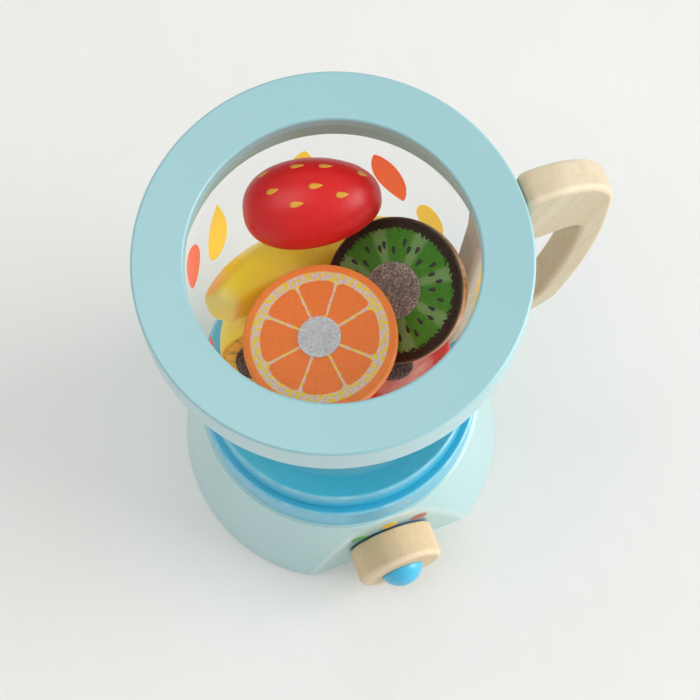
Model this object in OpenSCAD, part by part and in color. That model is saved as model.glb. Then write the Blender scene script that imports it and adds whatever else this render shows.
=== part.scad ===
/* [Overall] */
// Height of the whole blender, from the table to the top of the rim
total_h = 215; // [200:1:240]
// Outer diameter of the flat rim on top of the jug
rim_d = 130; // [124:1:140]
// Diameter of the round hole in the rim
rim_hole_d = 95.6; // [92:0.2:98]
// Thickness of the rim board
rim_t = 18; // [14:1:22]

/* [Jug] */
// Outer diameter of the clear wall at the underside of the rim
wall_top_d = 99.4; // [96:0.2:102]
// Outer diameter of the clear wall where it meets the jug floor
wall_foot_d = 83; // [78:0.5:90]
// Thickness of the clear wall
wall_t = 1.8; // [1.4:0.1:2.6]
// Diameter of the jug floor disc
floor_d = 100; // [94:1:104]
// Thickness of the jug floor disc
floor_t = 14; // [12:1:18]

/* [Base] */
// Diameter of the collar disc that the jug stands on
collar_d = 106; // [102:1:107]
// Thickness of the collar disc
collar_t = 18; // [14:1:20]
// Diameter of the base where it stands on the table
base_foot_d = 127.4; // [120:0.2:134]
// Diameter of the base under the collar
base_top_d = 108; // [106:0.2:114]
// Distance of the flat front from the centre line
front_y = 54; // [52.5:0.5:56]

/* [Knob] */
// Diameter of the turning knob
knob_d = 34; // [28:1:38]
// Depth of the knob from its back to its front face
knob_depth = 14; // [10:1:18]
// Height of the knob's centre above the table
knob_z = 22.5; // [20:0.5:26]
// Diameter of the domed button in the middle of the knob
button_d = 17.2; // [14:0.2:20]
// How far the button's dome stands out of the knob
button_dome = 6; // [4:0.5:8]
// Diameter of each of the three coloured speed dots
dot_d = 6.6; // [5:0.2:8]
// Turn between one speed dot and the next, in degrees
dot_step = 38; // [30:1:45]

/* [Handle] */
// Thickness of the handle board
handle_t = 12; // [10:0.5:16]
// How far the handle reaches out from the centre line
handle_reach = 98.5; // [92:0.5:104]
// Depth of the handle's top arm, from its top to the finger hole
handle_arm = 39; // [34:1:42]
// Width of the handle's outer arm
handle_grip = 10.5; // [9:0.5:13]

/* [Play fruit] */
// Diameter of the orange
orange_d = 51.6; // [48:0.2:52]
// Diameter of the kiwi
kiwi_d = 49.6; // [45:0.2:49.8]
// Length of the strawberry
strawberry_l = 46.5; // [40:0.5:47]
// Width of the strawberry
strawberry_w = 31.5; // [28:0.5:32]
// Width of the banana where it is cut
banana_w = 25; // [22:0.5:25]
// Thickness of the hook and loop pads on the cut faces
pad_t = 1.2; // [0.8:0.1:1.4]

/* [Hidden] */
$fn = 96;

// Levels, from the table up
base_h = total_h - rim_t - 110 - floor_t - collar_t;
collar_z = base_h;
floor_z = collar_z + collar_t;
floor_top = floor_z + floor_t;
rim_z = total_h - rim_t;

// Clear wall: a cone that stands in a groove of the floor and ends in a rebate of the rim
wall_slope = (wall_top_d - wall_foot_d) / 2 / (rim_z - floor_top);
wall_foot_z = floor_top - 6;
wall_head_z = total_h - 5.5;
glue = 0.15;

// Hardware
screw_r = 2.5;
shoulder_r = 3.5;
insert_r = 4.5;
washer_t = 0.8;
peg_r = 4;
peg_x = 24;
peg_up = 7;
peg_down = 9;
peg_play = 0.35;
dowel_r = 3;
dowel_x = 30;
dot_t = 0.3;
knob_back = -front_y - washer_t;

// Play fruit: how deep each half is under its cut face, and the pads on the cut faces
orange_h = 24;
kiwi_h = 22;
hook_d = 14;
orange_pad_d = 14.4;
kiwi_pad_d = 19.5;
banana_pad_d = 16;
banana_bend = 72;
banana_turn = 60;
banana_rings = 14;
banana_sides = 30;

// Handle, cut from a board in the X-Z plane. Its outer edge follows a long arc about
// back_c, and its leg runs along the clear wall.
leg_gap = 0.6;
leg_x = wall_top_d / 2 + leg_gap;
leg_w = 9.5;
back_r = 260;
back_c = [handle_reach - back_r, 180];
lower_dowel_r = 2.2;
lower_dowel_z = floor_z + 8;

// ---------------------------------------------------------------- shapes

// Points of an arc about c, from angle a to angle b
function arc(c, r, a, b, n = 6) =
    [for (i = [0:n]) c + r * [cos(a + (b - a) * i / n), sin(a + (b - a) * i / n)]];

// Half section of a flat turned disc or ring with rounded outer edges
module board_profile(r_in, r_out, z0, z1, edge) {
    polygon(concat(
        [[r_in, z0]],
        arc([r_out - edge, z0 + edge], edge, -90, 0, 4),
        arc([r_out - edge, z1 - edge], edge, 0, 90, 4),
        [[r_in, z1]]));
}

// A round bar along Y, from y0 towards the front
module front_bar(r, y0, length, z = knob_z) {
    translate([0, y0, z]) rotate([90, 0, 0]) cylinder(r = r, h = length);
}

// Outer radius of the clear wall at height z
function wall_r(z) = wall_foot_d / 2 + (z - floor_top) * wall_slope;

// ---------------------------------------------------------------- base

module base_body() {
    color([0.72, 0.87, 0.87]) difference() {
        rotate_extrude() polygon(concat(
            [[0, 0]],
            [[base_foot_d / 2 - 1.5, 0], [base_foot_d / 2 - 0.3, 0.8]],
            [[base_top_d / 2 + 0.3, base_h - 1], [base_top_d / 2 - 1, base_h]],
            [[0, base_h]]));
        // the flat front that carries the knob
        translate([-80, -front_y - 60, -1]) cube([160, 60, base_h + 2]);
        // blind hole for the threaded insert
        front_bar(insert_r, -front_y + 16, 17);
        // holes for the dowels that hold the collar
        for (s = [-1, 1]) translate([0, s * dowel_x, base_h - 12]) cylinder(r = dowel_r, h = 13);
    }
}

module base_collar() {
    color([0.27, 0.66, 0.8]) difference() {
        rotate_extrude() board_profile(0, collar_d / 2, collar_z, collar_z + collar_t, 1);
        for (s = [-1, 1]) {
            translate([s * peg_x, 0, floor_z - peg_down]) cylinder(r = peg_r, h = peg_down + 1);
            translate([0, s * dowel_x, collar_z - 1]) cylinder(r = dowel_r, h = 13);
        }
    }
}

module collar_dowels() {
    color([0.85, 0.75, 0.58]) for (s = [-1, 1])
        translate([0, s * dowel_x, base_h - 12]) cylinder(r = dowel_r, h = 24);
}

module locating_pegs() {
    color([0.85, 0.75, 0.58]) for (s = [-1, 1]) translate([s * peg_x, 0, floor_z - peg_down]) {
        cylinder(r = peg_r, h = peg_down + peg_up - 1);
        translate([0, 0, peg_down + peg_up - 1]) cylinder(r1 = peg_r, r2 = peg_r - 1, h = 1);
    }
}

// One painted dot on the flat front, turned about the knob's centre
module speed_dot(turn) {
    translate([0, -front_y, knob_z]) rotate([0, turn, 0])
        translate([0, 0, knob_d / 2 + 3.3]) rotate([90, 0, 0]) cylinder(d = dot_d, h = dot_t);
}
module green_dot() { color([0.35, 0.63, 0.35]) speed_dot(-dot_step); }
module yellow_dot() { color([0.85, 0.7, 0.22]) speed_dot(0); }
module red_dot() { color([0.76, 0.42, 0.42]) speed_dot(dot_step); }

// ---------------------------------------------------------------- knob and its screw

module knob_insert() {
    color([0.78, 0.66, 0.35]) difference() {
        front_bar(insert_r, -front_y + 13, 13);
        front_bar(screw_r, -front_y + 14, 16);
    }
}

module knob_screw() {
    color([0.75, 0.76, 0.78]) difference() {
        union() {
            front_bar(screw_r, -front_y + 11, 11);
            front_bar(shoulder_r, -front_y, 9.4);
            front_bar(6, -front_y - 9.4, 2.4);
        }
        translate([-4, -front_y - 12, knob_z - 0.5]) cube([8, 1.2, 1]);
    }
}

module washer(r, bore, y0, t) {
    difference() {
        front_bar(r, y0, t);
        front_bar(bore, y0 + 1, t + 2);
    }
}
module back_washer() { color([0.12, 0.2, 0.32]) washer(15.6, shoulder_r, -front_y, washer_t); }
module spring_washer() { color([0.7, 0.71, 0.72]) washer(6.4, shoulder_r, -front_y - 8.1, 0.5); }
module screw_washer() { color([0.75, 0.76, 0.78]) washer(6.4, shoulder_r, -front_y - 8.6, 0.8); }

module knob() {
    color([0.86, 0.77, 0.62]) difference() {
        union() {
            front_bar(knob_d / 2, knob_back, knob_depth - 1);
            translate([0, knob_back - knob_depth + 1, knob_z]) rotate([90, 0, 0])
                cylinder(r1 = knob_d / 2, r2 = knob_d / 2 - 1, h = 1);
        }
        // running bore on the screw's shoulder, and the well for its head
        front_bar(shoulder_r + 0.08, knob_back + 1, 20);
        front_bar(7, knob_back - 7.25, 20);
        front_bar(button_d / 2 - 1, knob_back - knob_depth + 2.5, 20);
    }
}

module knob_button() {
    dome_r = (pow(button_d / 2, 2) + pow(button_dome, 2)) / 2 / button_dome;
    face_y = knob_back - knob_depth;
    color([0.22, 0.67, 0.84]) {
        front_bar(button_d / 2 - 1, face_y + 2.5, 2.5);
        intersection() {
            translate([0, face_y + dome_r - button_dome, knob_z]) sphere(r = dome_r);
            front_bar(button_d, face_y, button_dome + 1);
        }
    }
}

// ---------------------------------------------------------------- jug

module jug_rim() {
    r_head = wall_r(wall_head_z) + glue;
    color([0.66, 0.84, 0.86]) difference() {
        rotate_extrude() board_profile(rim_hole_d / 2, rim_d / 2, rim_z, total_h, 0.8);
        // conical rebate that the clear wall is glued into
        rotate_extrude() polygon([
            [0, rim_z - 1], [wall_r(rim_z - 1) + glue, rim_z - 1],
            [r_head, wall_head_z + glue], [0, wall_head_z + glue]]);
        translate([(leg_x + rim_d / 2) / 2, 0, rim_z - 1]) cylinder(r = dowel_r, h = 11);
    }
}

module clear_wall() {
    color([0.9, 0.95, 0.96, 0.35]) rotate_extrude() polygon([
        [wall_r(wall_foot_z) - wall_t, wall_foot_z], [wall_r(wall_foot_z), wall_foot_z],
        [wall_r(wall_head_z), wall_head_z], [wall_r(wall_head_z) - wall_t, wall_head_z]]);
}

module jug_floor() {
    color([0.27, 0.66, 0.8]) difference() {
        rotate_extrude() difference() {
            board_profile(0, floor_d / 2, floor_z, floor_top, 1);
            // groove for the foot of the clear wall
            polygon([
                [wall_r(wall_foot_z) - wall_t - glue, wall_foot_z - glue],
                [wall_r(wall_foot_z) + glue, wall_foot_z - glue],
                [wall_r(floor_top + 1) + glue, floor_top + 1],
                [wall_r(floor_top + 1) - wall_t - glue, floor_top + 1]]);
        }
        for (s = [-1, 1]) translate([s * peg_x, 0, floor_z - 1])
            cylinder(r = peg_r + peg_play, h = peg_up + 1.6);
        translate([floor_d / 2 - 6, 0, lower_dowel_z]) rotate([0, 90, 0])
            cylinder(r = lower_dowel_r, h = 8);
    }
}

// ---------------------------------------------------------------- handle

function on_back(a, inset = 0) = back_c + (back_r - inset) * [cos(a), sin(a)];
function leg_edge(z, out) = [wall_r(z) + leg_gap + out, z];

module handle_outline() {
    top = total_h - 0.5;
    corner_r = 28;
    heel_r = 14;
    heel_c = on_back(-17.5, heel_r);
    polygon(concat(
        [[rim_d / 2 + 0.3, rim_z - 0.3]],
        arc([rim_d / 2 + 4.3, top - 4], 4, 180, 90, 5),
        arc([handle_reach - corner_r, top - corner_r], corner_r, 90, 4, 9),
        [for (a = [0:-3.5:-17.5]) on_back(a)],
        arc(heel_c, heel_r, -20, -57.5, 5),
        [[57, 77.5], [floor_d / 2 + 0.2, floor_z + 0.8], [floor_d / 2 + 0.2, floor_top + 0.4]],
        [leg_edge(floor_top + 0.4, 0), leg_edge(rim_z - 0.3, 0)]));
}

// The finger hole: its long sides follow the outer arc and the leg
module finger_hole() {
    top = total_h - handle_arm;
    polygon(concat(
        arc(leg_edge(top - 6, leg_w + 6), 6, 180, 95, 5),
        arc(on_back(-2.7, handle_grip + 7.5), 7.5, 85, 0, 6),
        [for (a = [-5:-3:-15]) on_back(a, handle_grip)],
        arc(on_back(-16.6, handle_grip + 8), 8, -20, -57, 4),
        arc(leg_edge(100, leg_w + 7), 7, -57, -176, 6)));
}

module handle() {
    color([0.84, 0.78, 0.68]) difference() {
        translate([0, handle_t / 2, 0]) rotate([90, 0, 0]) linear_extrude(handle_t)
            difference() { handle_outline(); finger_hole(); }
        translate([(leg_x + rim_d / 2) / 2, 0, rim_z - 12]) cylinder(r = dowel_r, h = 13);
        translate([floor_d / 2 - 1, 0, lower_dowel_z]) rotate([0, 90, 0])
            cylinder(r = lower_dowel_r, h = 5.5);
    }
}

module upper_handle_dowel() {
    color([0.85, 0.75, 0.58]) translate([(leg_x + rim_d / 2) / 2, 0, rim_z - 12])
        cylinder(r = dowel_r, h = 22);
}

module lower_handle_dowel() {
    color([0.85, 0.75, 0.58]) translate([floor_d / 2 - 6, 0, lower_dowel_z])
        rotate([0, 90, 0]) cylinder(r = lower_dowel_r, h = 10.5);
}

// ---------------------------------------------------------------- play fruit shapes
// Each half has its cut face in the plane z = 0, facing up.

module round_half(d, h, rim) {
    rotate_extrude() polygon(concat(
        [[0, 0], [d / 2 - 0.8, 0]],
        [[d / 2, -0.8]],
        [for (i = [0:10]) [cos(i * 9) * d / 2, -rim - sin(i * 9) * (h - rim)]]));
}

module round_pad(d) {
    cylinder(d = d, h = pad_t);
}

// Radius of the strawberry, and the way along it, by an angle that runs from stalk to tip
function berry_r(a) = strawberry_w / 2 * pow(sin(a), 0.86) * (1 + 0.1 * cos(a));
function berry_x(a) = strawberry_l / 2 * (1 - cos(a));

module strawberry_half() {
    n = 24;
    intersection() {
        translate([-strawberry_l / 2, 0, 0]) rotate([0, 90, 0]) rotate_extrude() polygon(concat(
            [[0, 0]],
            [for (i = [1:n - 1]) [berry_r(180 * i / n), berry_x(180 * i / n)]],
            [[0, strawberry_l]]));
        translate([-50, -50, -100]) cube([100, 100, 100]);
    }
}

// The banana's half runs along an arc down from its cut face; its section is a soft pentagon
function banana_size(t) = banana_w / 2 * (1 - 0.1 * t - 0.42 * pow(t, 4));
function banana_section(a) = 1 + 0.045 * cos(5 * a);
function banana_point(t, a) =
    let (turn = banana_turn * t, r = banana_size(t) * banana_section(a),
         out = banana_bend + r * cos(a))
    [out * cos(turn) - banana_bend, r * sin(a), -out * sin(turn)];

module banana_half() {
    pts = [for (i = [0:banana_rings]) for (k = [0:banana_sides - 1])
        banana_point(i / banana_rings, k * 360 / banana_sides)];
    faces = concat(
        [[for (k = [0:banana_sides - 1]) k]],
        [for (i = [0:banana_rings - 1]) for (k = [0:banana_sides - 1])
            let (a = i * banana_sides + k, b = i * banana_sides + (k + 1) % banana_sides)
            [a, a + banana_sides, b]],
        [for (i = [0:banana_rings - 1]) for (k = [0:banana_sides - 1])
            let (a = i * banana_sides + k, b = i * banana_sides + (k + 1) % banana_sides)
            [b, a + banana_sides, b + banana_sides]],
        [[for (k = [banana_sides - 1:-1:0]) banana_rings * banana_sides + k]]);
    polyhedron(pts, faces);
}

// ---------------------------------------------------------------- places of the play fruit

module at_orange_bottom() { translate([2, -12, 90.5]) rotate([176, -3, 0]) children(); }
module at_kiwi_bottom() { translate([4, -17, 138.5]) rotate([19, 40, -12]) children(); }
module at_strawberry_lower() { translate([12, -24, 154.5]) rotate([-18, 17, 22]) children(); }
module at_banana_lower() { translate([-30.5, -6, 156.2]) rotate([-51, -21, 155]) children(); }
module at_banana_upper() { translate([29, 16, 147.2]) rotate([102, 23, 70]) children(); }
module at_kiwi_top() { translate([19, -5.5, 176.5]) rotate([8, -26, 0]) children(); }
module at_orange_top() { translate([-11, -15.4, 188.3]) rotate([-5, -6, 0]) children(); }
module at_strawberry_upper() { translate([2.7, 27.3, 192.5]) rotate([180, 0, -12]) children(); }

orange_color = [0.93, 0.46, 0.13];
kiwi_color = [0.36, 0.55, 0.22];
banana_color = [0.9, 0.76, 0.3];
berry_color = [0.8, 0.13, 0.15];
loop_color = [0.72, 0.7, 0.7];
hook_color = [0.35, 0.3, 0.28];

module orange_bottom_half() { color(orange_color) at_orange_bottom() round_half(orange_d, orange_h, 1.5); }
module orange_bottom_pad() { color(hook_color) at_orange_bottom() round_pad(hook_d); }
module orange_top_half() { color(orange_color) at_orange_top() round_half(orange_d, orange_h, 1.5); }
module orange_top_pad() { color(loop_color) at_orange_top() round_pad(orange_pad_d); }
module kiwi_bottom_half() { color(kiwi_color) at_kiwi_bottom() round_half(kiwi_d, kiwi_h, 2); }
module kiwi_bottom_pad() { color(hook_color) at_kiwi_bottom() round_pad(kiwi_pad_d); }
module kiwi_top_half() { color(kiwi_color) at_kiwi_top() round_half(kiwi_d, kiwi_h, 2); }
module kiwi_top_pad() { color(loop_color) at_kiwi_top() round_pad(kiwi_pad_d); }
module banana_lower_half() { color(banana_color) at_banana_lower() banana_half(); }
module banana_lower_pad() { color(hook_color) at_banana_lower() round_pad(banana_pad_d); }
module banana_upper_half() { color(banana_color) at_banana_upper() banana_half(); }
module banana_upper_pad() { color(hook_color) at_banana_upper() round_pad(banana_pad_d); }
module strawberry_lower_half() { color(berry_color) at_strawberry_lower() strawberry_half(); }
module strawberry_lower_pad() { color(hook_color) at_strawberry_lower() round_pad(hook_d); }
module strawberry_upper_half() { color(berry_color) at_strawberry_upper() strawberry_half(); }
module strawberry_upper_pad() { color(loop_color) at_strawberry_upper() round_pad(hook_d); }

// ---------------------------------------------------------------- nodes

base_body();
base_collar();
collar_dowels();
locating_pegs();
green_dot();
yellow_dot();
red_dot();
knob_insert();
knob_screw();
back_washer();
spring_washer();
screw_washer();
knob();
knob_button();
jug_rim();
clear_wall();
jug_floor();
handle();
upper_handle_dowel();
lower_handle_dowel();
orange_bottom_half();
orange_bottom_pad();
kiwi_bottom_half();
kiwi_bottom_pad();
banana_lower_half();
banana_lower_pad();
strawberry_lower_half();
strawberry_lower_pad();
kiwi_top_half();
kiwi_top_pad();
banana_upper_half();
banana_upper_pad();
orange_top_half();
orange_top_pad();
strawberry_upper_half();
strawberry_upper_pad();
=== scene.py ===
# %% [markdown]
# # A toy blender full of cut play fruit
# The imported model gives exact places, so every dressed piece is worked out in that same frame.
# First the frame is loaded.
# %% Load the frame
import bmesh
import bpy
import numpy as np
from mathutils import Matrix


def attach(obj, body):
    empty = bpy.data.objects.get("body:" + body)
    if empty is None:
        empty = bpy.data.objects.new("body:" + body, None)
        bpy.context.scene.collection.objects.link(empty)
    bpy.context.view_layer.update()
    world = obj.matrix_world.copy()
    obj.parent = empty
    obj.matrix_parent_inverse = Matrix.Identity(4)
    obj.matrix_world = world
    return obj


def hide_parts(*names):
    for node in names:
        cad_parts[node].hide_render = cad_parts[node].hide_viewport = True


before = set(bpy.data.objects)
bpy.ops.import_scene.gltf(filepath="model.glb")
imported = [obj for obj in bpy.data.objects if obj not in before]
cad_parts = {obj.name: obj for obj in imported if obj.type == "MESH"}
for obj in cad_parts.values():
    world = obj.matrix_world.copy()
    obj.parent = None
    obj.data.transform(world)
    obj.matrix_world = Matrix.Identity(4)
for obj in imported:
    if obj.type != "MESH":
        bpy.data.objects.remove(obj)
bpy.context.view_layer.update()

MM = 0.001

# %% [markdown]
# ## From formulas to meshes
# A shape is a grid of points: two numbers run over it, and each pair gives one place.
# Neighbouring points make a face. Seams and poles hold doubled points, which are merged,
# and then the faces are turned outwards. Modelling by hand would also do, but a formula
# keeps each radius and height the same as in the construction.
# %% Grids to meshes
def grid_faces(points, first=0):
    """Quads of a grid: a point, the one below it, the diagonal one and the one beside it."""
    rows, cols = points.shape[:2]
    n = np.arange(rows * cols).reshape(rows, cols) + first
    return np.stack([n[:-1, :-1], n[1:, :-1], n[1:, 1:], n[:-1, 1:]], -1).reshape(-1, 4)


MERGE_M = 1e-6


def surface(name, grids, own=None, uv=None, marks=None):
    """One mesh from a list of grids (rows, cols, 3) in metres. own, uv and marks are like grids with
    each point's place on the unposed shape, its two pattern coordinates, and a 0..1 arris mask."""
    flat = lambda parts, k: np.concatenate([np.asarray(p, float).reshape(-1, k) for p in parts])
    first = np.cumsum([0] + [g.shape[0] * g.shape[1] for g in grids[:-1]])
    faces = np.concatenate([grid_faces(g, f) for g, f in zip(grids, first)])
    mesh = bpy.data.meshes.new(name)
    mesh.from_pydata(flat(grids, 3), [], faces.tolist())
    place = mesh.attributes.new("own_place", "FLOAT_VECTOR", "POINT")
    place.data.foreach_set("vector", flat(own or grids, 3).ravel())
    if marks is not None:
        arris = mesh.attributes.new("arris", "FLOAT", "POINT")
        arris.data.foreach_set("value", flat(marks, 1).ravel())
    if uv is not None:
        corner = np.zeros(len(mesh.loops), int)
        mesh.loops.foreach_get("vertex_index", corner)
        mesh.uv_layers.new(name="pattern").data.foreach_set("uv", flat(uv, 2)[corner].ravel())
    work = bmesh.new()
    work.from_mesh(mesh)
    bmesh.ops.remove_doubles(work, verts=work.verts, dist=MERGE_M)
    bmesh.ops.recalc_face_normals(work, faces=work.faces)
    work.to_mesh(mesh)
    work.free()
    mesh.shade_smooth()
    return mesh


def in_scene(name, data):
    """A new object in the scene, from a mesh, a lamp or a camera."""
    made = bpy.data.objects.new(name, data)
    bpy.context.scene.collection.objects.link(made)
    return made


def joined(*parts):
    """Points from their coordinates, each a number or an array."""
    return np.stack(np.broadcast_arrays(*parts), -1)


def place(name, mesh, body, nodes, slot, finish):
    """Puts a mesh in the scene, riding on its body, instead of its CAD nodes."""
    piece = in_scene(name, mesh)
    mesh.materials.append(finish)
    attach(piece, body)
    if nodes:
        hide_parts(*nodes)
    print(name, "on", body, "-", len(mesh.polygons), "faces")
    return piece


# %% [markdown]
# ## Turned wood
# Rim, collar, floor, base, knob and button all come off a lathe, so each is a profile carried
# round an axis. No lathe leaves a knife edge: each corner of a profile gets a small arc, with
# one extra point on the flat beside it, so that smooth shading stays on the arc.
# %% Profiles with soft corners
BESIDE_ARC, LEAST_BESIDE = 0.15, 0.01


def softened(corners, steps=5, closed=False):
    """corners are (x, y, radius) in mm. Each corner is replaced by an arc that touches both sides:
    it starts radius / tan(half the corner's angle) away from the corner. Gives points and arc marks."""
    c = np.array(corners, float)
    points, marks = [], []
    for k, (x, y, radius) in enumerate(c):
        here = np.array([x, y])
        if radius == 0 or (not closed and k in (0, len(c) - 1)):
            points.append(here[None])
            marks.append([0])
            continue
        to_last = c[k - 1, :2] - here
        to_next = c[(k + 1) % len(c), :2] - here
        room = min(np.hypot(*to_last), np.hypot(*to_next))
        to_last, to_next = to_last / np.hypot(*to_last), to_next / np.hypot(*to_next)
        half = np.arccos(np.clip(to_last @ to_next, -1, 1)) / 2
        reach = radius / np.tan(half)
        beside = min(BESIDE_ARC, (room / 2 - reach) * 0.5) if room / 2 > reach else LEAST_BESIDE
        middle = here + (to_last + to_next) / np.hypot(*(to_last + to_next)) * radius / np.sin(half)
        start, end = here + to_last * reach - middle, here + to_next * reach - middle
        sweep, t = np.pi - 2 * half, np.linspace(0, 1, steps + 1)[:, None]
        arc = middle + (start * np.sin((1 - t) * sweep) + end * np.sin(t * sweep)) / np.sin(sweep)
        before, after = (here + side * (reach + beside) for side in (to_last, to_next))
        points += [before[None], arc, after[None]]
        marks += [[0], np.sin(np.linspace(0, np.pi, steps + 1)), [0]]
    points, marks = np.concatenate(points), np.concatenate(marks)
    if closed:
        points, marks = np.vstack([points, points[:1]]), np.append(marks, marks[0])
    return points, marks


def length_along(points):
    """How far along a line of points each one is."""
    return np.append(0, np.cumsum(np.hypot(*np.diff(points, axis=0).T)))


def finely(points, marks, step):
    """The same profile with points no more than step mm apart along it."""
    run = length_along(points)
    fine = np.unique(np.concatenate([run, np.arange(0, run[-1], step)]))
    return np.stack([np.interp(fine, run, points[:, k]) for k in (0, 1)], 1), np.interp(fine, run, marks)


def whole_turn(count):
    """Angles from 0 to a full turn, both ends included."""
    return np.linspace(0, 2 * np.pi, count)


def turned(profile, cols, front=False, centre=(0, 0, 0)):
    """Profile point (r, h) goes round as (r cos t, r sin t, h), or for a turned piece on the flat
    front as (r cos t, -h, r sin t); then centre (mm) is added. Also gives the arris marks."""
    points, marks = profile
    t = whole_turn(cols + 1)
    r, h = points[:, :1], points[:, 1:]
    a, b = r * np.cos(t), r * np.sin(t)
    grid = joined(a, -h, b) if front else joined(a, b, h)
    return (grid + np.array(centre)) * MM, np.repeat(marks[:, None], cols + 1, 1)


def turned_piece(name, shape, body, node, slot, finish):
    """Places a turned shape, which is a grid and its marks, instead of one node."""
    return place(name, surface(name, shape[:1], marks=shape[1:]), body, [node], slot, finish)


# %% [markdown]
# ## Shader helpers
# A material is a small network of nodes. Effects that several finishes share, such as the grain
# of beech or a satin paint film, are node groups with named sockets, built once. Each group
# puts out only a colour, a roughness and a normal; the shader itself stays in the material.
# %% Nodes in few words
def fill(node, inputs):
    """Gives inputs of a node a value, or a link from another node's output."""
    for key, value in inputs.items():
        if isinstance(value, bpy.types.NodeSocket):
            node.id_data.links.new(value, node.inputs[key])
        else:
            node.inputs[key].default_value = value


def add(tree, kind, inputs=(), **settings):
    """A new shader node of that kind, with its inputs filled."""
    made = tree.nodes.new("ShaderNode" + kind)
    for key, value in settings.items():
        setattr(made, key, value)
    fill(made, dict(inputs))
    return made


def tree_of(*values):
    """The node tree of the first value that is a socket."""
    return next(value.id_data for value in values if isinstance(value, bpy.types.NodeSocket))


def sums(operation, a, b=0.0, c=0.0, clamp=False):
    return add(tree_of(a, b, c), "Math", {0: a, 1: b, 2: c}, operation=operation, use_clamp=clamp).outputs[0]


def blend_colour(share, a, b, kind="MIX"):
    tree = tree_of(share, a, b)
    return add(tree, "Mix", {0: share, 6: a, 7: b}, data_type="RGBA", blend_type=kind).outputs[2]


def noise(vector, scale, detail=3.0, rough=0.55):
    sockets = {"Vector": vector, "Scale": scale, "Detail": detail, "Roughness": rough}
    return add(tree_of(vector), "TexNoise", sockets).outputs["Fac"]


def ranged(value, low, high, to_low=0.0, to_high=1.0):
    sockets = {0: value, 1: low, 2: high, 3: to_low, 4: to_high}
    return add(tree_of(value), "MapRange", sockets).outputs[0]


def stretched(vector, scale):
    return add(tree_of(vector), "Mapping", {"Vector": vector, "Scale": scale}).outputs[0]


def squeezed_noise(vector, squeeze, detail=3.0, rough=0.55):
    """Noise with a scale of its own along each axis, for marks that are longer one way."""
    return noise(stretched(vector, squeeze), 1, detail, rough)


def off_half(value):
    """How far a value's fraction is from one half: |fract(value) - 0.5|."""
    return sums("ABSOLUTE", sums("SUBTRACT", sums("FRACT", value), 0.5))


def srgb(r, g, b):
    """A colour read off a screen (0..255) as the linear colour that shaders use."""
    c = np.array([r, g, b]) / 255
    return (*np.where(c <= 0.04045, c / 12.92, ((c + 0.055) / 1.055) ** 2.4).tolist(), 1.0)


def mottled(share, low, high, a, b):
    """Screen colour a where the share is low, screen colour b where it is high."""
    return blend_colour(ranged(share, low, high), srgb(*a), srgb(*b))


def new_group(name, inputs):
    """A node group with those named inputs, which will put out a colour, a roughness and a normal."""
    tree = bpy.data.node_groups.new(name, "ShaderNodeTree")
    for socket, kind, start in inputs:
        made = tree.interface.new_socket(socket, in_out="INPUT", socket_type="NodeSocket" + kind)
        if start is not None:
            made.default_value = start
    for socket, kind in (("Colour", "Color"), ("Roughness", "Float"), ("Normal", "Vector")):
        tree.interface.new_socket(socket, in_out="OUTPUT", socket_type="NodeSocket" + kind)
    return tree, tree.nodes.new("NodeGroupInput"), tree.nodes.new("NodeGroupOutput")


def finish_group(out, colour, roughness, height, strength, distance):
    tree = out.id_data
    bump = add(tree, "Bump", {"Height": height, "Strength": strength, "Distance": distance})
    fill(out, {"Colour": colour, "Roughness": roughness, "Normal": bump.outputs[0]})
    print("node group", tree.name, "-", len(tree.nodes), "nodes")


# %% [markdown]
# ## The paint film
# The toy's wood is sprayed with satin paint. Up close such a film shows a fine peel, a slight
# drift of tone over a few centimetres, and specks and arris lines in a tone of their own. On the
# arrises that tone is partly paint worn thin and partly painted light: a painted highlight where
# it is paler than the paint, and a painted shade where it is darker, as on the rim.
# %% Paint film group
film, film_in, film_out = new_group(
    "paint_film",
    [("Place", "Vector", None), ("Paint", "Color", (0.5, 0.5, 0.5, 1)),
     ("Speck, arris wear and shading tone", "Color", (1, 1, 1, 1)), ("Arris", "Float", 0.0), ("Sheen level", "Float", 0.38)])
at, plain, speck_arris_wear_and_shading_tone, arris, sheen_level = film_in.outputs[:5]
drift = noise(at, 28, 2)
peel = noise(at, 520, 3)
specks = noise(at, 1500, 2)
dusky = blend_colour(1.0, plain, (0.86, 0.9, 0.92, 1), "MULTIPLY")
tone = blend_colour(ranged(drift, 0.3, 0.7, 0.0, 0.22), plain, dusky)
tone = blend_colour(ranged(specks, 0.62, 0.75, 0.0, 0.16), tone, speck_arris_wear_and_shading_tone)
patches = ranged(noise(at, 160, 3), 0.35, 0.7, 0.35, 0.85)
# Painted highlight and shade along the arrises, partly also paint worn thin there.
tone = blend_colour(sums("MULTIPLY", arris, patches), tone, speck_arris_wear_and_shading_tone)
gloss = sums("MULTIPLY_ADD", peel, 0.14, sums("SUBTRACT", sheen_level, 0.07))
finish_group(film_out, tone, gloss, peel, 0.22, 0.0003)


def attribute(tree, name, output):
    return add(tree, "Attribute", attribute_name=name).outputs[output]


def new_finish(name):
    """A material with its Principled shader, and the piece's own place as a vector."""
    made = bpy.data.materials.new(name)
    made.use_nodes = True
    tree = made.node_tree
    return made, tree, tree.nodes["Principled BSDF"], add(tree, "TexCoord").outputs["Object"]


def wear(shader, group, inputs):
    """Places a group and joins its three outputs to the shader."""
    made = add(shader.id_data, "Group", inputs, node_tree=group)
    colour, roughness, normal = made.outputs
    fill(shader, {"Base Color": colour, "Roughness": roughness, "Normal": normal})
    return made


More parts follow.
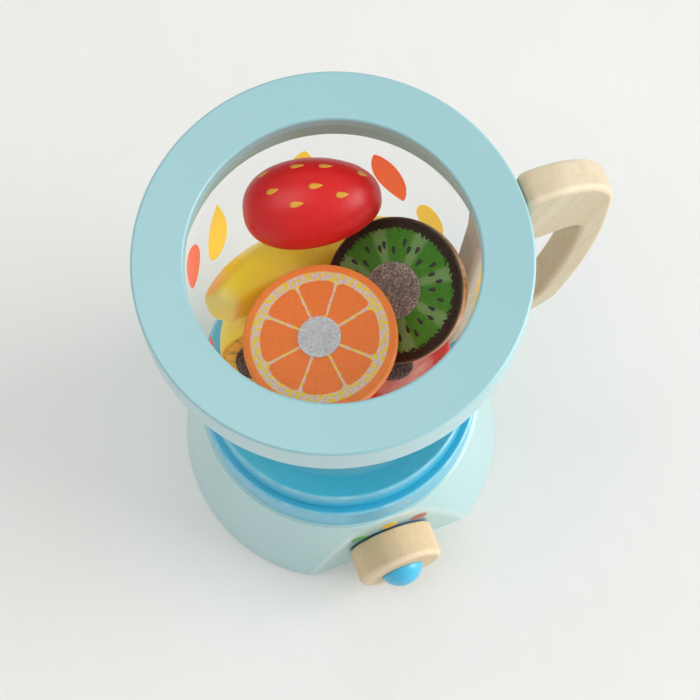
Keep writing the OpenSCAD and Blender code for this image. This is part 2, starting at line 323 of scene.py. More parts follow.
def paint(name, colour, edge, sheen_level, lacquer=0.0):
    """Satin paint; lacquer is the share of a clear coat, which mirrors the table at a low angle."""
    made, tree, shader, at = new_finish(name)
    fill(shader, {"Coat Weight": lacquer, "Coat Roughness": 0.25})
    wear(shader, film, {"Place": at, "Paint": srgb(*colour), "Speck, arris wear and shading tone": srgb(*edge),
                        "Arris": attribute(tree, "arris", "Fac"), "Sheen level": sheen_level})
    return made


# The second colour is the arris and speck tone: where paler it is a painted highlight on the arrises, and on
# the rim, darker, a painted shade.
rim_paint = paint("pale_blue_paint", (154, 202, 209), (146, 196, 203), 0.44, 0.9)
base_paint = paint("mint_blue_paint", (168, 210, 211), (206, 230, 229), 0.42, 1.0)
blue_paint = paint("mid_blue_paint", (34, 176, 214), (160, 218, 232), 0.34, 0.6)
button_paint = paint("button_blue_paint", (62, 184, 224), (120, 206, 232), 0.34, 0.4)
dot_green = paint("dot_green_paint", (88, 158, 84), (120, 178, 112), 0.5)
dot_yellow = paint("dot_yellow_paint", (222, 178, 48), (228, 196, 96), 0.5)
dot_red = paint("dot_red_paint", (190, 100, 96), (204, 130, 124), 0.5)

# %% [markdown]
# ## Beech
# Knob and handle are clear-lacquered beech. Its marks are long streaks, and short dark flecks a
# millimetre or two long, all along the grain. Both are noises squeezed along one axis.
# %% Beech group
beech, beech_in, beech_out = new_group(
    "beech_grain",
    [("Along grain", "Vector", None), ("Pale", "Color", srgb(229, 213, 186)),
     ("Deep", "Color", srgb(196, 168, 130)), ("Arris", "Float", 0.0)])
at, pale, deep, arris = beech_in.outputs[:4]
streaks = squeezed_noise(at, (9, 260, 260), 4, 0.6)
bands = squeezed_noise(at, (4, 60, 60))
flecks = squeezed_noise(at, (420, 2600, 2600), 2)
pores = squeezed_noise(at, (150, 3800, 3800), 2)
wood = blend_colour(ranged(bands, 0.3, 0.75, 0.0, 0.55), pale, deep)
wood = blend_colour(ranged(streaks, 0.45, 0.75, 0.0, 0.5), wood, deep)
wood = blend_colour(ranged(flecks, 0.62, 0.72, 0.0, 0.45), wood, srgb(158, 122, 86))
# The arrises are painted paler: a painted highlight.
wood = blend_colour(sums("MULTIPLY", arris, 0.45), wood, srgb(238, 222, 198))
finish_group(beech_out, wood, ranged(streaks, 0.2, 0.8, 0.42, 0.6), pores, 0.25, 0.0002)


def bare_wood(name, pale, deep, turn=(0, 0, 0)):
    """Beech whose grain runs along X of the piece after the turn."""
    made, tree, shader, at = new_finish(name)
    along = add(tree, "Mapping", {"Vector": at, "Rotation": np.radians(turn).tolist()}).outputs[0]
    wear(shader, beech, {"Along grain": along, "Pale": srgb(*pale), "Deep": srgb(*deep),
                         "Arris": attribute(tree, "arris", "Fac")})
    return made


handle_wood = bare_wood("handle_beech", (216, 204, 177), (194, 171, 133), (0, 62, 0))
knob_wood = bare_wood("knob_beech", (222, 199, 160), (204, 175, 133), (0, 0, 90))
dowel_wood = bare_wood("dowel_beech", (222, 200, 164), (190, 160, 120), (0, 90, 0))

# %% [markdown]
# ## The base
# The base is a turned cone with one flat planed on its front for the knob. For each height and
# direction the surface is at the smaller of two distances: the cone's radius, and the distance
# to the flat. A soft minimum rounds the arris between them the way paint over sanded wood does.
# %% Base body
FLAT_Y, BASE_H, FOOT_R, TOP_R = 54.0, 55, 63.4, 54.25
ARRIS_ROUND, ARRIS_MARK = 0.5, 0.7
SIDE_FROM = 30  # inside this radius there is only the flat of the foot and of the top


def soft_least(a, b, k):
    """The smaller of a and b, rounded over about k where they meet: (a + b - root((a-b)^2 + k^2)) / 2."""
    return (a + b - np.sqrt((a - b) ** 2 + k ** 2)) / 2


base_corners = [(0, 0, 0), (FOOT_R - 1, 0, 0.5), (FOOT_R, 0.9, 0.7), (TOP_R, BASE_H - 0.8, 1.0),
                (TOP_R - 1.25, BASE_H, 0.6), (0, BASE_H, 0)]
base_profile, base_marks = finely(*softened(base_corners), 1.5)
t = whole_turn(641)
radius = base_profile[:, :1] + 0 * t
to_flat = FLAT_Y / np.maximum(-np.sin(t), 1e-3) + 0 * radius
planed = np.minimum(radius, soft_least(radius, to_flat, ARRIS_ROUND))
reach = np.where(radius > SIDE_FROM, planed, radius)
base_grid = joined(reach * np.cos(t), reach * np.sin(t), base_profile[:, 1:]) * MM
along_arris = np.exp(-((radius - to_flat) / ARRIS_MARK) ** 2) * (radius > SIDE_FROM)
base_arris = np.maximum(np.repeat(base_marks[:, None], len(t), 1), along_arris)
turned_piece("base_shell", (base_grid, base_arris), "base", "base_body", "base_paint", base_paint)
print("flat front at y =", -FLAT_Y, "mm")

# %% [markdown]
# ## Discs and rim
# Collar and jug floor are plain discs with eased edges. The floor's underside has two sockets
# for the pegs, cut with a Boolean. The rim is a thick ring with a conical rebate underneath,
# which the head of the clear wall is glued into.
# %% Collar, floor and rim
COLLAR_R, COLLAR_TOP, FLOOR_R, FLOOR_TOP, HAIR = 53, 73, 50, 87, 0.05
PEG_X, SOCKET_R, SOCKET_LOW, SOCKET_TOP = 24, 4.35, COLLAR_TOP - 1, 80.6


def disc(r, low, high):
    """A plain disc with eased edges, whose underside is a hair above what it lies on."""
    low = low + HAIR
    return turned(finely(*softened([(0, low, 0), (r, low, 1.0), (r, high, 1.2), (0, high, 0)]), 6), 224)


collar = disc(COLLAR_R, BASE_H, COLLAR_TOP)
turned_piece("collar_disc", collar, "base", "base_collar", "blue_paint", blue_paint)
floor_shape = disc(FLOOR_R, COLLAR_TOP, FLOOR_TOP)
floor_disc = turned_piece("floor_disc", floor_shape, "jug", "jug_floor", "blue_paint", blue_paint)
socket_corners = [(0, SOCKET_LOW, 0), (SOCKET_R, SOCKET_LOW, 0), (SOCKET_R, SOCKET_TOP, 0), (0, SOCKET_TOP, 0)]
for side in (-1, 1):
    socket = turned(softened(socket_corners), 48, centre=(PEG_X * side, 0, 0))
    cutter = in_scene("cutter", surface("cutter", socket[:1]))
    cut = floor_disc.modifiers.new("socket", "BOOLEAN")
    cut.object, cut.operation, cut.solver = cutter, "DIFFERENCE", "EXACT"
    evaluated = floor_disc.evaluated_get(bpy.context.evaluated_depsgraph_get())
    carved = bpy.data.meshes.new_from_object(evaluated)
    floor_disc.modifiers.clear()
    floor_disc.data = carved
    bpy.data.objects.remove(cutter)
print("floor disc with sockets:", len(floor_disc.data.polygons), "faces")

RIM_R, MOUTH_R, RIM_LOW, RIM_TOP, REBATE_TOP = 65, 47.8, 197, 215, 209.65
REBATE_R, REBATE_TOP_R = 49.85, 50.79
rim_section = [(RIM_R, RIM_TOP, 1.0), (RIM_R, RIM_LOW, 0.9), (REBATE_R, RIM_LOW, 0.3),
               (REBATE_TOP_R, REBATE_TOP, 0), (MOUTH_R, REBATE_TOP, 0.2), (MOUTH_R, RIM_TOP, 1.1)]
rim = turned(finely(*softened(rim_section, 6, closed=True), 3), 256)
turned_piece("rim_ring", rim, "jug", "jug_rim", "rim_paint", rim_paint)

# %% [markdown]
# ## Knob, button and speed dots
# The knob is turned too, on an axis that points out of the flat front. It is bored for the screw
# that it turns on. The button is a shallow dome of the same turned kind, and the three dots
# above the knob are small drops of paint.
# %% Knob parts
KNOB_AT, FRONT_AT = (0, -54.8, 22.5), (0, -FLAT_Y, 22.5)
KNOB_R, KNOB_H, BORE_R = 17, 14, 3.58
SEAT_R, SEAT_H, SINK_R, SINK_H = 7.75, 11.5, 7, 7.25  # the button's seat, and the sink for the screw's head
knob_section = [(BORE_R, 0, 0), (KNOB_R, 0, 0.9), (KNOB_R, KNOB_H, 2.4), (SEAT_R, KNOB_H, 0.4),
                (SEAT_R, SEAT_H, 0), (SINK_R, SEAT_H, 0), (SINK_R, SINK_H, 0), (BORE_R, SINK_H, 0)]
knob = turned(finely(*softened(knob_section, 6, closed=True), 1.5), 160, front=True, centre=KNOB_AT)
turned_piece("turning_knob", knob, "knob", "knob", "plain_wood", knob_wood)

DOME_HALF, DOME_H = 8.6, 5.99  # a hair under 6 mm, so that it stays inside the frame's box
DOME_R = (DOME_HALF ** 2 + DOME_H ** 2) / (2 * DOME_H)
rise = np.arcsin(DOME_HALF / DOME_R) * np.linspace(1, 0, 20)
dome = joined(DOME_R * np.sin(rise), KNOB_H + DOME_H - DOME_R * (1 - np.cos(rise)))
dome_profile = np.vstack([[(0, 11.6), (7.5, 11.6), (7.5, KNOB_H + 0.02), (8.3, KNOB_H + 0.02)], dome])
button = turned((dome_profile, 0 * dome_profile[:, 0]), 96, front=True, centre=KNOB_AT)
turned_piece("dome_button", button, "knob", "knob_button", "button_paint", button_paint)

WASHER_IN, WASHER_OUT, WASHER_T = 3.55, 15.6, 0.75
washer_section = [(WASHER_IN, 0, 0), (WASHER_OUT, 0, 0.2), (WASHER_OUT, WASHER_T, 0.2),
                  (WASHER_IN, WASHER_T, 0)]
washer = turned(softened(washer_section, 3, closed=True), 128, front=True, centre=FRONT_AT)
DOT_RING, DOT_STEP = 20.3, np.radians(38)
drop_profile = softened([(0, -0.1, 0), (3.25, -0.1, 0), (3.28, 0.12, 0.1), (2.9, 0.26, 0.4), (0, 0.3, 0)], 3)
for name, step, dot_paint in (("green", -1, dot_green), ("yellow", 0, dot_yellow), ("red", 1, dot_red)):
    turn = step * DOT_STEP
    spot = DOT_RING * np.array([np.sin(turn), 0, np.cos(turn)]) + FRONT_AT
    drop = turned(drop_profile, 64, front=True, centre=spot)
    turned_piece(name + "_dot_drop", drop, "base", name + "_dot", name + "_paint", dot_paint)

# %% [markdown]
# ## Plastics and metals
# The washer behind the knob is dyed plastic, and the screw parts are plated metal. They hardly
# show, but each still gets a fine scuffed roughness of its own.
# %% Small hardware finishes
scuff, scuff_in, scuff_out = new_group(
    "fine_scuffs",
    [("Place", "Vector", None), ("Tint", "Color", (0.5, 0.5, 0.5, 1)), ("Level", "Float", 0.3)])
at, tint, level = scuff_in.outputs[:3]
rubbed = squeezed_noise(at, (300, 1800, 300))
cloud = ranged(noise(at, 240, 2), 0.3, 0.7, 0.0, 0.3)
dulled = blend_colour(cloud, tint, (0.6, 0.6, 0.62, 1), "MULTIPLY")
uneven = sums("MULTIPLY_ADD", rubbed, 0.25, level)
finish_group(scuff_out, dulled, uneven, rubbed, 0.15, 0.0001)


def scuffed(name, tint, level, metallic):
    made, _, shader, at = new_finish(name)
    fill(shader, {"Metallic": metallic})
    wear(shader, scuff, {"Place": at, "Tint": srgb(*tint), "Level": level})
    return made


washer_plastic = scuffed("washer_plastic", (40, 74, 116), 0.35, 0.0)
steel = scuffed("plated_steel", (190, 192, 196), 0.22, 1.0)
brass = scuffed("insert_brass", (200, 170, 90), 0.25, 1.0)
turned_piece("knob_washer", washer, "base", "back_washer", "dark_washer", washer_plastic)
KEPT_NODES = {
    "knob_screw": steel, "spring_washer": steel, "screw_washer": steel, "knob_insert": brass,
    "collar_dowels": dowel_wood, "locating_pegs": dowel_wood,
    "upper_handle_dowel": dowel_wood, "lower_handle_dowel": dowel_wood}
for name, finish in KEPT_NODES.items():
    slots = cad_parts[name].data.materials
    slots.clear()
    slots.append(finish)

# %% [markdown]
# ## The clear wall
# The wall is one acrylic sheet bent to a cone. Its shape is the true closed tube. A full glass
# shader would darken the fruit inside, because light can't be followed well through it, so the
# sheet is a mostly open surface that grows denser where it is seen along its length. Rays that
# carry light onto the fruit pass almost freely.
# %% Clear wall
clear_acrylic, tree, shader, at = new_finish("clear_acrylic")
graze = add(tree, "LayerWeight", {"Blend": 0.3}).outputs["Facing"]
dense = sums("MULTIPLY_ADD", sums("POWER", graze, 2.6), 0.22, 0.03)
dust = ranged(noise(at, 700, 3), 0.6, 0.78, 0.0, 0.03)
ray = add(tree, "LightPath")
open_ray = sums("MAXIMUM", ray.outputs["Is Shadow Ray"], ray.outputs["Is Diffuse Ray"])
thinned = sums("MULTIPLY_ADD", open_ray, -0.85, 1.0)
seen = sums("MULTIPLY", sums("ADD", dense, dust, clamp=True), thinned)
smears = ranged(noise(at, 45, 2), 0.3, 0.7, 0.04, 0.12)
fill(shader, {"Base Color": srgb(232, 238, 242), "Alpha": seen, "Roughness": smears})


def wall_radius(z):
    """Outer radius of the clear cone at height z, mm: 41.5 at the floor's top, 49.7 at the rim."""
    return 41.5 + (z - FLOOR_TOP) * 8.2 / (RIM_LOW - FLOOR_TOP)


WALL_T, WALL_LOW, WALL_TOP = 1.8, 81, 209.5
wall_section = [(wall_radius(z) - inset, z, ease) for z, inset, ease in (
    (WALL_LOW, 0, 0.2), (WALL_TOP, 0, 0.25), (WALL_TOP, WALL_T, 0.25), (WALL_LOW, WALL_T, 0.2))]
wall = turned(softened(wall_section, 3, closed=True), 256)
turned_piece("clear_cone", wall, "jug", "clear_wall", "clear_plastic", clear_acrylic)

# %% [markdown]
# ## Motifs on the wall
# The wall carries prints in two warm colours: plain blossoms, leaves, rounds and drops. Each is
# a thin cushion of ink, bent onto the cone. Its outline is a curve of complex numbers, because
# there a turn by the angle lean is one product with exp(i lean).
# %% Printed motifs
PRINT_STRETCH = 1.5  # prints are taller than wide, because the jug is seen steeply from above


def on_wall(turn, height, across, up, lift):
    """A point across, up (mm) from the motif's middle; across is measured round the cone."""
    z = height + up
    r = wall_radius(z) + lift
    angle = np.radians(turn) + across / r
    return joined(r * np.cos(angle), r * np.sin(angle), z) * MM


def motif(kind, size, lean, turn, height):
    """Ink cushion: rows run from the middle out to the outline and back underneath."""
    a = whole_turn(73)
    shape = {"blossom": (0.74 + 0.26 * np.cos(5 * a)) * np.exp(1j * a), "round": np.exp(1j * a),
             "leaf": np.cos(a) + 0.5j * np.sin(a) * np.abs(np.sin(a)) ** 0.6,
             "drop": np.cos(a) + 0.66j * np.sin(a) * np.abs(np.sin(a / 2))}[kind]
    outline = shape * size * np.exp(1j * lean)
    out = np.array([0, 0.35, 0.7, 0.96, 1, 0.96, 0.7, 0.35, 0])[:, None]
    lift = np.array([0.09, 0.09, 0.09, 0.09, 0.05, 0.02, 0.02, 0.02, 0.02])[:, None]
    return on_wall(turn, height, out * outline.real, out * outline.imag * PRINT_STRETCH, lift)


def ink(name, colour):
    """Thin printed ink with a weak glow, painted light standing in for light from the far side shining through
    it.
    """
    made, _, shader, at = new_finish(name)
    # The emission is painted light: a glow in place of light shining through the ink.
    fill(shader, {"Emission Color": srgb(*colour), "Emission Strength": 0.5})
    edge = [min(255, c + 26) for c in colour]
    wear(shader, film, {"Place": at, "Paint": srgb(*colour), "Speck, arris wear and shading tone": srgb(*edge),
                        "Arris": 0.0, "Sheen level": 0.42})
    return made


# Each motif is its kind, its size in mm, its lean in radians, and its turn round the jug in
# degrees and its height in mm.
MOTIFS = {
    "warm_red": ((236, 84, 44), [
        ("leaf", 11.0, 1.0, 46, 172), ("round", 7.0, 0, 148, 180), ("drop", 10.5, 1.2, 215, 168),
        ("leaf", 11.0, 1.3, 300, 170), ("blossom", 9.5, 0.6, 84, 122), ("leaf", 10.0, 2.2, 168, 122),
        ("drop", 9.5, 2.4, 318, 118)]),
    "warm_yellow": ((250, 208, 62), [
        ("drop", 11.5, 1.9, 127, 170), ("round", 6.5, 0, 24, 158), ("blossom", 9.5, 0.4, 182, 168),
        ("leaf", 11.5, 1.8, 84, 170), ("round", 6.5, 0, 256, 174), ("drop", 10.5, 1.0, 338, 176),
        ("round", 6.5, 0, 126, 124), ("leaf", 10.5, 0.9, 212, 118)])}
for name, (colour, prints) in MOTIFS.items():
    mesh = surface("print_" + name, [motif(*p) for p in prints])
    place("print_" + name, mesh, "jug", [], "clear_plastic", ink("ink_" + name, colour))

# %% [markdown]
# ## The handle
# The handle is sawn from a 12 mm board and sanded round. Its outline and the finger hole are two
# closed curves about one middle point, so a grid can run round both: from the outer arris over
# the face to the hole, through the hole, and back over the other face.
# %% Handle curves
def arc_points(c, r, a, b, n):
    """Points of an arc about c from angle a to b, in degrees."""
    t = np.radians(np.linspace(a, b, n + 1))
    return joined(c[0] + r * np.cos(t), c[1] + r * np.sin(t))


def on_back(a, inset=0.0):
    """A point of the long outer arc of the handle, moved inwards by inset."""
    a = np.radians(a)
    return np.array([-161.5 + (260 - inset) * np.cos(a), 180 + (260 - inset) * np.sin(a)])


def leg_edge(z, out=0.05):
    """A point beside the clear cone at height z, that far outside the leg's gap of 0.6 mm."""
    return np.array([wall_radius(z) + 0.6 + out, z])


LEG_TOP, LEG_LOW = leg_edge(196.7), leg_edge(87.45)
FLOOR_NOTCH, FLOOR_TIP = (50.2, 87.35), (50.2, 73.9)
# Points are (x, z) in mm in the board's plane; a third number is the radius of the corner there.
at_rim = [(50.3, 150, 0), (*LEG_TOP, 1.2), (65.3, 196.7, 1.2), (65.3, 206.5, 0)]
at_floor = [(62, 82, 0), (57, 77.5, 4), (*FLOOR_TIP, 1.0), (*FLOOR_NOTCH, 0.6), (*LEG_LOW, 0.8),
            (*leg_edge(120), 0)]
outline = np.vstack([
    softened(at_rim)[0][1:-1], arc_points((69.3, 210.5), 4, 180, 90, 8),
    arc_points((70.5, 186.5), 28, 90, 4, 24), [on_back(a) for a in np.arange(0, -17.6, -1.25)],
    arc_points(on_back(-17.5, 14), 14, -20, -57.5, 10), softened(at_floor)[0][1:-1]])
finger_hole = np.vstack([
    arc_points(leg_edge(170, 15.5), 6, 180, 95, 10), arc_points(on_back(-2.7, 18), 7.5, 85, 0, 10),
    [on_back(a, 10.5) for a in np.arange(-4, -15.1, -1)], arc_points(on_back(-16.6, 18.5), 8, -20, -57, 8),
    arc_points(leg_edge(100, 16.5), 7, -57, -176, 12)])
HANDLE_MIDDLE = np.array([76.0, 150.0])


def evenly(loop, count=1080):
    """The closed loop resampled at even turns about the handle's middle, clockwise."""
    loop = np.vstack([loop, loop[:1]])
    run = length_along(loop)
    fine = np.unique(np.concatenate([run, np.linspace(0, run[-1], 4000)]))
    path = np.stack([np.interp(fine, run, loop[:, k]) for k in (0, 1)], 1)
    turn = np.unwrap(np.arctan2(*(path - HANDLE_MIDDLE).T[::-1]))
    keep = np.append(True, np.diff(np.minimum.accumulate(turn)) < -1e-9)
    want = np.linspace(0, -2 * np.pi, count + 1)
    shift = 2 * np.pi * np.round((turn[0] + np.pi) / (2 * np.pi))
    angle = np.concatenate([turn[keep] - shift + whole * 2 * np.pi for whole in (1, 0, -1)])[::-1]
    return np.stack([np.interp(want, angle, np.tile(path[keep, k], 3)[::-1]) for k in (0, 1)], 1)


def inwards(loop):
    """Unit vectors at right angles to a clockwise loop, pointing into its area."""
    ahead = np.roll(loop[:-1], -2, 0) - np.roll(loop[:-1], 2, 0)
    ahead = np.vstack([ahead, ahead[:1]])
    return joined(ahead[:, 1], -ahead[:, 0]) / np.hypot(*ahead.T)[:, None]


outer, hole = evenly(outline), evenly(finger_hole)
into_wood, into_hole = inwards(outer), inwards(hole)
print("handle outline", outer.min(0).round(1), "to", outer.max(0).round(1), "mm")

# %% Handle board
# Near the corners at the joints the easing is a fifth of the way to the corner, so that the
# faces between outline and finger hole don't fold.
BOARD_HALF, EASE_OUT, EASE_IN, EASE_LEAST = 6.0, 2.4, 1.8, 0.3
CORNERS = np.array([FLOOR_TIP, FLOOR_NOTCH, LEG_LOW, LEG_TOP])
from_corner = np.hypot(*(outer[:, None] - CORNERS).transpose(2, 0, 1)).min(1)
ease = np.clip(0.2 * from_corner, EASE_LEAST, EASE_OUT)[:, None]
print("the outer easing is", ease.min().round(2), "mm at the joints and", ease.max(), "mm elsewhere")
quarter = np.radians(np.linspace(0, 90, 8))
rows = [(outer + into_wood * ease * (1 - np.cos(q)), BOARD_HALF - ease[:, 0] * (1 - np.sin(q)), np.sin(2 * q))
        for q in quarter]
face_out, face_in = outer + into_wood * ease, hole - into_hole * EASE_IN
rows += [(face_out * (1 - s) + face_in * s, BOARD_HALF, 0) for s in (0.04, 0.2, 0.4, 0.6, 0.8, 0.96)]
rows += [(hole - into_hole * EASE_IN * (1 - np.cos(q)), BOARD_HALF - EASE_IN * (1 - np.sin(q)), np.sin(2 * q))
         for q in quarter[::-1]]
rows += [(loop, -y, mark) for loop, y, mark in rows[::-1]]
rows.append(rows[0])
board = MM * np.stack([joined(loop[:, 0], y, loop[:, 1]) for loop, y, _ in rows])
board_marks = np.stack([np.full(len(loop), mark) for loop, _, mark in rows])
turned_piece("handle_board", (board, board_marks), "jug", "handle", "plain_wood", handle_wood)

# %% [markdown]
# ## Where the fruit lies
# Each half fruit is made flat, cut face up at the origin, and then turned and moved to where it
# came to rest in the jug. Its own place on the unposed shape is kept as an attribute, so the
# printed cut face follows the fruit.
# %% Poses of the fruit
FRUIT_AT = {  # place in mm, and turns about X, Y and Z in degrees
    "orange_bottom": ((2, -12, 90.5), (176, -3, 0)),
    "kiwi_bottom": ((4, -17, 138.5), (19, 40, -12)),
    "strawberry_lower": ((12, -24, 154.5), (-18, 17, 22)),
    "banana_lower": ((-30.5, -6, 156.2), (-51, -21, 155)),
    "banana_upper": ((29, 16, 147.2), (102, 23, 70)),
    "kiwi_top": ((19, -5.5, 176.5), (8, -26, 0)),
    "orange_top": ((-11, -15.4, 188.3), (-5, -6, 0)),
    "strawberry_upper": ((2.7, 27.3, 192.5), (180, 0, -12))}


def posed(fruit, grid):
    """Turns a grid (mm) about X, then Y, then Z, moves it, and gives metres."""
    move, turn = FRUIT_AT[fruit]
    x, y, z = (Matrix.Rotation(np.radians(a), 3, axis) for a, axis in zip(turn, "XYZ"))
    return (grid @ np.array(z @ y @ x).T + np.array(move)) * MM


def fruit_piece(fruit, part, grids, slot, finish, nodes=(), uv=None, marks=None):
    """One posed part of a half fruit, riding on that fruit's body."""
    name, own = f"{fruit}_{part}", [g * MM for g in grids]
    mesh = surface(name, [posed(fruit, g) for g in grids], own=own, uv=uv, marks=marks)
    place(name, mesh, fruit, nodes, slot, finish)


def cut_halves(fruits, grid, finish, uv=None, marks=None):
    """The same cut half for both of a kind, instead of their nodes."""
    for fruit in fruits:
        slot = fruit.split("_")[0] + "_paint"
        fruit_piece(fruit, "cut_half", [grid], slot, finish, [fruit + "_half"], uv, marks)


# %% [markdown]
# ## Orange and kiwi
# Both are turned domes with a printed face. The pattern needs polar coordinates, so the UV map
# holds the number of segments passed round the middle, and the way from the middle in mm. The
# segments of a real orange differ in width, so their edges are at uneven angles.
# %% Round halves
def round_half(d, h, band, edge=0.9):
    """d across and h high, mm: a flat face with a soft edge, a straight band under it, and then a
    dome (d / 2 cos q, -band - sin q (h - band)) for q from 0 to 90 degrees."""
    q = np.radians(np.linspace(2, 88, 28))
    dome = joined(d / 2 * np.cos(q), -band - np.sin(q) * (h - band))
    corners = [(0, 0, 0), (d / 2, 0, edge), (d / 2, -band, 0)]
    points, marks = softened(corners, 6)
    marks = np.concatenate([marks, np.zeros(len(dome) + 1)])
    return finely(np.vstack([points, dome, [(0, -h)]]), marks, 1.2)


ROUND_COLS = 180


def polar_uv(profile, edges):
    """Turns are counted in segments between the given edge angles (degrees), ways in mm."""
    t = np.linspace(0, 360, ROUND_COLS + 1)
    stops = np.sort(np.array(edges) % 360)
    stops = np.concatenate([stops - 360, stops, stops + 360])
    count = np.interp(t, stops, np.arange(len(stops)))
    return joined(count, length_along(profile[0])[:, None])


ORANGE_EDGES, KIWI_EDGES = (10, 53, 93, 135, 186, 230, 276, 315), np.arange(8) * 45 + 12
orange_profile, kiwi_profile = round_half(51.6, 24, 1.5), round_half(49.6, 22, 2.0)
print("orange rows", len(orange_profile[0]), "kiwi rows", len(kiwi_profile[0]))

# %% Printed faces
def fruit_finish(name, sheen_level=0.42, specular=0.5):
    """Paint that follows the unposed shape: the material, its tree, film node and own place."""
    made, tree, shader, _ = new_finish(name)
    fill(shader, {"Specular IOR Level": specular})
    own, arris = attribute(tree, "own_place", "Vector"), attribute(tree, "arris", "Fac")
    coat = wear(shader, film, {"Place": own, "Arris": arris, "Sheen level": sheen_level})
    return made, tree, coat, own


def pattern(tree):
    """The two pattern coordinates of a mesh."""
    return add(tree, "SeparateXYZ", {0: add(tree, "UVMap", uv_map="pattern").outputs[0]}).outputs[:2]


def mask(value, edge, soft):
    """1 below the edge, 0 above it, over a soft step."""
    return ranged(value, edge - soft, edge + soft, 1.0, 0.0)


SEGMENT_TURN = 0.785  # an eighth of a turn, in radians
FLESH_R, PEEL_FROM = 19.9, 23.1  # mm from the orange's middle
HALF_RIB, FLESH_ROUND = 0.42, 3.6  # mm, for the pale ribs and for the segments' round corners
TEETH_FROM, SKIN_FROM = 20.9, 24.9  # mm from the kiwi's middle
orange_finish, tree, coat, own = fruit_finish("orange_print")
count, way = pattern(tree)
off_edge = off_half(sums("ADD", count, 0.5))
side_gap = sums("MULTIPLY", sums("MULTIPLY", off_edge, SEGMENT_TURN), way)
outer_gap = sums("SUBTRACT", FLESH_R, way)
gap = sums("SMOOTH_MIN", sums("SUBTRACT", side_gap, HALF_RIB), outer_gap, FLESH_ROUND)
wobble = sums("MULTIPLY_ADD", noise(own, 520, 2), 0.7, -0.35)
flesh = mask(sums("MULTIPLY_ADD", gap, -1.0, wobble), 0.0, 0.12)
dots = add(tree, "TexVoronoi", {"Vector": own, "Scale": 520, "Randomness": 0.8}, voronoi_dimensions="2D")
pith = mottled(noise(own, 1400, 3), 0.4, 0.6, (212, 176, 162), (228, 204, 190))
pith = blend_colour(mask(dots.outputs["Distance"], 0.36, 0.05), pith, srgb(236, 200, 30))
juice = mottled(noise(own, 900, 4), 0.3, 0.7, (238, 108, 12), (244, 122, 24))
skin = mottled(noise(own, 200, 3), 0.3, 0.7, (244, 118, 18), (248, 130, 30))
face = blend_colour(mask(way, PEEL_FROM, 0.12), skin, blend_colour(flesh, pith, juice))
# The paler orange arris tone is a painted highlight.
fill(coat, {"Paint": face, "Speck, arris wear and shading tone": srgb(244, 146, 70)})

kiwi_finish, tree, coat, own = fruit_finish("kiwi_print", 0.55, 0.22)
count, way = pattern(tree)
teeth = noise(stretched(own, (1, 1, 0)), 900, 2, 0.5)
spikes = off_half(sums("MULTIPLY_ADD", count, 9.0, sums("MULTIPLY", teeth, 3.0)))
ragged = sums("MULTIPLY_ADD", teeth, 3.2, sums("SUBTRACT", way, 2.2))
ragged = sums("MULTIPLY_ADD", spikes, 2.4, ragged)
ray_noise = noise(own, 700, 4)
wedge = sums("SUBTRACT", off_half(count), 0.08)
wedge = mask(sums("MULTIPLY_ADD", ray_noise, 0.16, wedge), 0.16, 0.05)
green = mottled(ray_noise, 0.3, 0.7, (58, 118, 26), (78, 136, 38))
light = mottled(noise(own, 1300, 3), 0.3, 0.7, (120, 152, 92), (140, 168, 112))
core = blend_colour(sums("MULTIPLY", wedge, 0.7), green, light)
bark = mottled(noise(own, 900, 3), 0.35, 0.65, (36, 22, 12), (54, 36, 22))
skin = mottled(squeezed_noise(own, (30, 700, 30)), 0.35, 0.65, (158, 120, 92), (188, 148, 118))
face = blend_colour(mask(ragged, TEETH_FROM, 0.15), bark, core)
face = blend_colour(mask(way, SKIN_FROM, 0.1), skin, face)
fill(coat, {"Paint": face, "Speck, arris wear and shading tone": srgb(112, 84, 60)})

ORANGES, KIWIS = ("orange_bottom", "orange_top"), ("kiwi_bottom", "kiwi_top")
for fruits, profile, edges, finish in ((ORANGES, orange_profile, ORANGE_EDGES, orange_finish),
                                       (KIWIS, kiwi_profile, KIWI_EDGES, kiwi_finish)):
    grid, marks = turned(profile, ROUND_COLS)
    cut_halves(fruits, grid / MM, finish, [polar_uv(profile, edges)], [marks])

# %% [markdown]
# ## Kiwi seeds
# The dark seeds are printed drops that point to the middle, two or three to a wedge. All of them
# are one mesh: a small drop outline is copied to every place at once.
# %% Seeds on the kiwi
def drops(angles, ways, length, width, top):
    """Drop-shaped cushions (mm) with their points towards the middle."""
    a = whole_turn(15)
    out = np.array([0, 0.6, 1, 1, 0])[:, None]
    lift = np.array([top, top, top * 0.6, -0.1, -0.1])[:, None]
    along = out * length / 2 * np.cos(a)
    across = out * width / 2 * np.sin(a) * (1 + 0.55 * np.cos(a))
    grids = []
    for angle, way in zip(np.radians(angles), ways):
        r, c, s = way + along, np.cos(angle), np.sin(angle)
        grids.append(joined(r * c - across * s, r * s + across * c, lift))
    return grids


draw = np.random.default_rng(7)
seed_finish = paint("kiwi_seed_print", (34, 28, 22), (60, 50, 40), 0.4)
spread = np.repeat(KIWI_EDGES, 4) + np.tile([7, 17, 28, 39], 8) + draw.uniform(-2.5, 2.5, 32)
ways = np.tile([13.6, 16.2, 14.2, 16.8], 8) + draw.uniform(-0.7, 0.7, 32)
seeds = drops(spread, ways, 2.9, 1.25, 0.06)
for fruit in KIWIS:
    fruit_piece(fruit, "seeds", seeds, "kiwi_paint", seed_finish)

# %% [markdown]
# ## Strawberries
# A half strawberry is half a body of revolution. Each slice is a half disc: the smaller of the
# distance to the circle and to the cut face, rounded where they meet. The seeds are painted
# drops laid on the same formula, a hair above the skin.
# %% Strawberry halves
BERRY_L, BERRY_W = 46.5, 31.5


